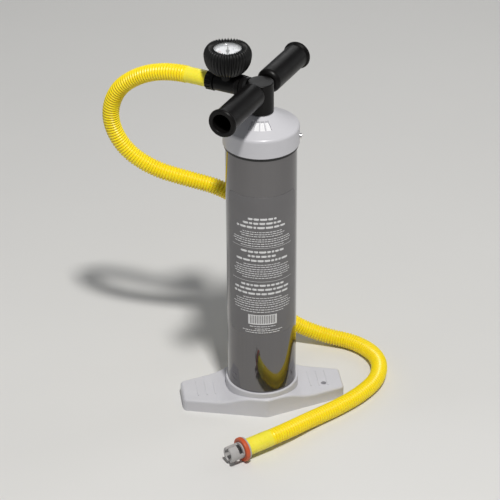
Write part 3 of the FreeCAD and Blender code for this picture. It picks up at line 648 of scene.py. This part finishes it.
def make_boot():
    """The rubber boot of the gauge: cord-like ribs from its foot, over its rim to the window."""
    centre = middle_of("gauge_boot")
    low, high = (v.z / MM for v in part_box("gauge_boot"))
    place = Vector((centre.x, centre.y, 0))
    foot = (16.9, low + 0.2)
    belly = (29.5, low + 20.8)
    shoulder = (26.2, high - 1.6)
    crown = (21.0, high + 0.1)
    # Radius, height and the grooves' share, from the bore, up the outside and down the cavity.
    profile = [(BOOT_BORE, low, 0), (14.0, low, 0)]
    profile += arc_profile(foot, belly, 3.0, 18, (0.5, 1))
    profile += arc_profile(belly, shoulder, 1.5, 12, (1, 1))
    profile += arc_profile(shoulder, crown, 1.0, 6, (1, 0.9))
    profile += [
        (*crown, 0.9),
        (19.2, high - 0.1, 0.9),
        (BOOT_WINDOW + 0.3, high - 0.7, 0.9),
        (BOOT_WINDOW, high - 1.7, 0.7),
        (BOOT_WINDOW, high - 2.2, 0),
        (BOOT_CAVITY, high - 2.2, 0),
        (BOOT_CAVITY, low + 9, 0),
        (20, low + 6.6, 0),
        (BOOT_BORE, low + 6.6, 0),
    ]
    around = BOOT_RIBS * BOOT_STEPS_PER_RIB

    def groove(share):
        wave = 0.5 - 0.5 * math.cos(TURN * share * BOOT_RIBS)
        return BOOT_GROOVE_DEPTH * wave**BOOT_GROOVE_SHAPE

    points = spun(profile, around, place, groove)
    faces = ring_faces(len(profile), around, closed=True)
    rubber = MATERIAL_OF_SLOT["black_rubber"]
    boot = add_piece("Gauge_boot_ribbed", points, faces, rubber, "handle")
    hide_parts("gauge_boot")


BEZEL_AROUND = 96


def make_bezel():
    """A bright sloping ring between the lens and the dial."""
    dial_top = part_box("gauge_dial")[1].z / MM
    lens_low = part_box("gauge_lens")[0].z / MM
    centre = middle_of("gauge_dial")
    high = lens_low - 0.1
    low = dial_top + 0.05
    profile = [
        (15.5, low, 0),
        (16.9, high - 0.3, 0),
        (17.2, high, 0),
        (19.6, high, 0),
        (19.8, high - 0.2, 0),
        (19.8, low + 0.2, 0),
        (19.6, low, 0),
    ]
    points = spun(profile, BEZEL_AROUND, Vector((centre.x, centre.y, 0)))
    faces = ring_faces(len(profile), BEZEL_AROUND, closed=True)
    steel = MATERIAL_OF_SLOT["bright_steel"]
    add_piece("Gauge_bezel", points, faces, steel, "handle")


DIAL_SWEEP = math.radians(270)
DIAL_ZERO = math.radians(82)
DIAL_TICKS = 30
DIAL_NUMBERS = 7
DIAL_STEP = 5  # ticks and units from one number to the next
DIAL_RED_FROM = 5
TICK_OUTER = 15.0 * MM
TICK_THICKNESS = 0.06 * MM
NUMBER_REACH = 9.9
NUMBER_SIZE = 4.4 * MM
NUMBER_TURN = math.radians(-7.5)


def make_dial_print():
    """A scale of ticks and numerals, read from the front left of the pump."""
    centre = middle_of("gauge_dial")
    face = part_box("gauge_dial")[1].z + 0.05 * MM
    dark = ink("Dial_ink_black", (0.02, 0.02, 0.022))
    red = ink("Dial_ink_red", (0.45, 0.02, 0.02))
    place = Vector((centre.x, centre.y, face))
    points = []
    faces = []
    for tick in range(DIAL_TICKS + 1):
        angle = DIAL_ZERO - DIAL_SWEEP * tick / DIAL_TICKS
        long_one = tick % DIAL_STEP == 0
        inner = (12.6 if long_one else 13.8) * MM
        half = (0.32 if long_one else 0.16) * MM
        along = Vector((math.cos(angle), math.sin(angle), 0))
        side = Vector((-along.y, along.x, 0)) * half
        first = len(points)
        for lift in (0, TICK_THICKNESS):
            up = Vector((0, 0, lift))
            for reach, sign in ((inner, -1), (TICK_OUTER, -1), (TICK_OUTER, 1), (inner, 1)):
                points.append(place + along * reach + side * sign + up)
        faces.append((first + 3, first + 2, first + 1, first))
        faces.append((first + 4, first + 5, first + 6, first + 7))
        for edge in range(4):
            after = (edge + 1) % 4
            faces.append((first + edge, first + after, first + 4 + after, first + 4 + edge))
    add_piece("Dial_ticks", points, faces, dark, "handle", smooth=False)
    for count in range(DIAL_NUMBERS):
        angle = DIAL_ZERO - DIAL_SWEEP * count / (DIAL_NUMBERS - 1)
        text = bpy.data.curves.new(f"Dial_number_{count}", "FONT")
        text.body = str(count * DIAL_STEP)
        text.size = NUMBER_SIZE
        text.align_x = "CENTER"
        text.align_y = "CENTER"
        text.extrude = 0.03 * MM
        text.materials.append(red if count >= DIAL_RED_FROM else dark)
        number = bpy.data.objects.new(f"Dial_number_{count}", text)
        bpy.context.collection.objects.link(number)
        along = Vector((math.cos(angle), math.sin(angle), 0))
        number.location = place + along * NUMBER_REACH * MM
        number.rotation_euler = (0, 0, NUMBER_TURN)
        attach(number, "handle")


# ---------------------------------------------------------------- label

LABEL_HEADING = math.radians(-95)
LABEL_HALF_ANGLE = math.radians(66)
CORNER_STEPS = 5
FILM_RADIUS = 45.04 * MM
FILM_THICKNESS = 0.17 * MM
FILM_CORNER = 6 * MM
FILM_ACROSS = 64
PRINT_HEADING = math.radians(-96.5)
PRINT_SEED = 11
PRINT_GAP = 0.002 * MM
PRINT_THICKNESS = 0.03 * MM


def on_barrel(angle, height, radius):
    """A point at a heading round the barrel's axis."""
    return Vector((radius * math.cos(angle), radius * math.sin(angle), height))


def patch_grid(angle, half_angle, low, high, corner, radius, thickness, across):
    """Points and faces of a rounded rectangle bent round the barrel, with a thickness."""
    rows = []
    for step in range(CORNER_STEPS):
        drop = corner * (1 - math.cos(step / (CORNER_STEPS - 1) * math.pi / 2))
        rows.append((low + drop, corner - math.sqrt(max(corner**2 - (corner - drop) ** 2, 0))))
    middle = [(low + corner + (high - low - 2 * corner) * step / 4, 0) for step in (1, 2, 3)]
    rows += middle + [(high + low - height, inset) for height, inset in reversed(rows)]
    points = []
    for layer in (0, thickness):
        for height, inset in rows:
            half = half_angle - inset / radius
            for step in range(across + 1):
                swing = angle - half + 2 * half * step / across
                points.append(on_barrel(swing, height, radius + layer))
    wide = across + 1
    layer_size = wide * len(rows)
    faces = []
    for row in range(len(rows) - 1):
        for step in range(across):
            a = row * wide + step
            b = a + wide
            faces.append((a, b, b + 1, a + 1))
            faces.append((layer_size + a, layer_size + a + 1, layer_size + b + 1, layer_size + b))
    rim = list(range(wide))
    rim += [row * wide + across for row in range(1, len(rows))]
    rim += [(len(rows) - 1) * wide + step for step in range(across - 1, -1, -1)]
    rim += [row * wide for row in range(len(rows) - 2, 0, -1)]
    for a, b in zip(rim, rim[1:] + rim[:1]):
        faces.append((a, b, layer_size + b, layer_size + a))
    return points, faces


# The rows of plain dashes that stand for the label's print, in millimetres: how far each is below
# the label's top edge, its height, and half its width.
PRINT_ROWS = [
    (31.2, 3.6, 18.5),
    (37.2, 3.6, 25.5),
    (43.2, 3.6, 35.0),
    (49.9, 1.3, 26.0),
    (53.0, 1.3, 30.0),
    (56.1, 1.3, 28.0),
    (60.4, 1.3, 40.0),
    (63.4, 1.3, 41.0),
    (66.8, 1.3, 38.0),
    (70.2, 1.3, 29.0),
    (78.9, 3.6, 29.0),
    (85.3, 3.6, 19.0),
    (91.7, 3.6, 36.0),
    (97.8, 1.3, 25.0),
    (101.0, 1.3, 37.0),
    (104.5, 1.3, 36.0),
    (107.6, 1.3, 40.0),
    (110.9, 1.3, 39.0),
    (114.0, 1.3, 36.0),
    (117.4, 1.3, 27.0),
    (128.4, 3.6, 29.0),
    (134.8, 3.6, 39.0),
    (141.2, 3.6, 40.0),
    (147.7, 1.3, 26.0),
    (151.3, 1.3, 37.0),
    (154.6, 1.3, 36.0),
    (157.8, 1.3, 41.0),
    (161.4, 1.3, 40.0),
    (165.1, 1.3, 39.0),
    (168.7, 1.3, 30.0),
    (190.9, 1.3, 17.0),
    (194.4, 1.3, 10.0),
    (197.2, 1.3, 27.0),
    (200.4, 1.3, 23.0),
]

# The two thin rules and the hatched panel, in millimetres below the label's top edge. The panel's
# widths are from the print's middle.
RULE_DROPS = (73.0, 122.8)
RULE_HALF_WIDTH = 43
RULE_HALF_HEIGHT = 0.2
PANEL_TOP_DROP = 173.2
PANEL_BOTTOM_DROP = 187.8
PANEL_OUTER = 19
PANEL_INNER = 16.5
PANEL_BOTTOM_EDGE = 1.6
PANEL_TOP_EDGE = 1.0
PANEL_BARS = 14


def make_label():
    """The sticker, with plain dashes, two rules and a hatched panel in place of its print."""
    low, high = (v.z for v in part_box("label"))
    points, faces = patch_grid(
        LABEL_HEADING,
        LABEL_HALF_ANGLE,
        low,
        high,
        FILM_CORNER,
        FILM_RADIUS,
        FILM_THICKNESS,
        FILM_ACROSS,
    )
    vinyl = MATERIAL_OF_SLOT["label_film"]
    film = add_piece("Label_film", points, faces, vinyl, "pump_body")
    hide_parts("label")

    radius = FILM_RADIUS + FILM_THICKNESS
    patches = []

    def add_patch(left, right, bottom, top, corner):
        """A patch of print, by its arcs' lengths from the print's middle and its heights."""
        middle = PRINT_HEADING + (left + right) / 2 / (radius / MM)
        half = (right - left) / 2 / (radius / MM)
        across = max(2, int((right - left) / 1.5))
        base = radius + PRINT_GAP
        patches.append(
            patch_grid(middle, half, bottom, top, corner * MM, base, PRINT_THICKNESS, across)
        )

    draw = random.Random(PRINT_SEED)
    for drop, height, half_width in PRINT_ROWS:
        middle = high - drop * MM
        top = middle + height * 0.4 * MM
        bottom = middle - height * 0.4 * MM
        left = -half_width
        while left < half_width - height:
            right = min(left + draw.uniform(1.6, 4.6) * height**0.6, half_width)
            add_patch(left, right, bottom, top, height * 0.3)
            left = right + 0.4 * height**0.6 + 0.15
    for drop in RULE_DROPS:
        bottom = high - (drop + RULE_HALF_HEIGHT) * MM
        top = high - (drop - RULE_HALF_HEIGHT) * MM
        add_patch(-RULE_HALF_WIDTH, RULE_HALF_WIDTH, bottom, top, 0.1)
    panel_top = high - PANEL_TOP_DROP * MM
    panel_bottom = high - PANEL_BOTTOM_DROP * MM
    bars_top = panel_top - PANEL_TOP_EDGE * MM
    bars_bottom = panel_bottom + PANEL_BOTTOM_EDGE * MM
    add_patch(-PANEL_OUTER, -PANEL_INNER, panel_bottom, panel_top, 0.3)
    add_patch(PANEL_INNER, PANEL_OUTER, panel_bottom, panel_top, 0.3)
    add_patch(-PANEL_INNER, PANEL_INNER, panel_bottom, bars_bottom, 0.1)
    add_patch(-PANEL_INNER, PANEL_INNER, bars_top, panel_top, 0.1)
    for bar in range(PANEL_BARS):
        left = -16.0 + bar * 32 / PANEL_BARS
        add_patch(left + 0.5, left + 1.7, bars_bottom, bars_top, 0.1)

    points = []
    faces = []
    for patch_points, patch_faces in patches:
        first = len(points)
        points += patch_points
        faces += [tuple(first + corner for corner in face) for face in patch_faces]
    add_piece("Label_print", points, faces, label_print(), "pump_body")


make_camera()
make_hose()
make_stage()
paint_cad_nodes()
make_boot()
make_bezel()
make_dial_print()
make_label()
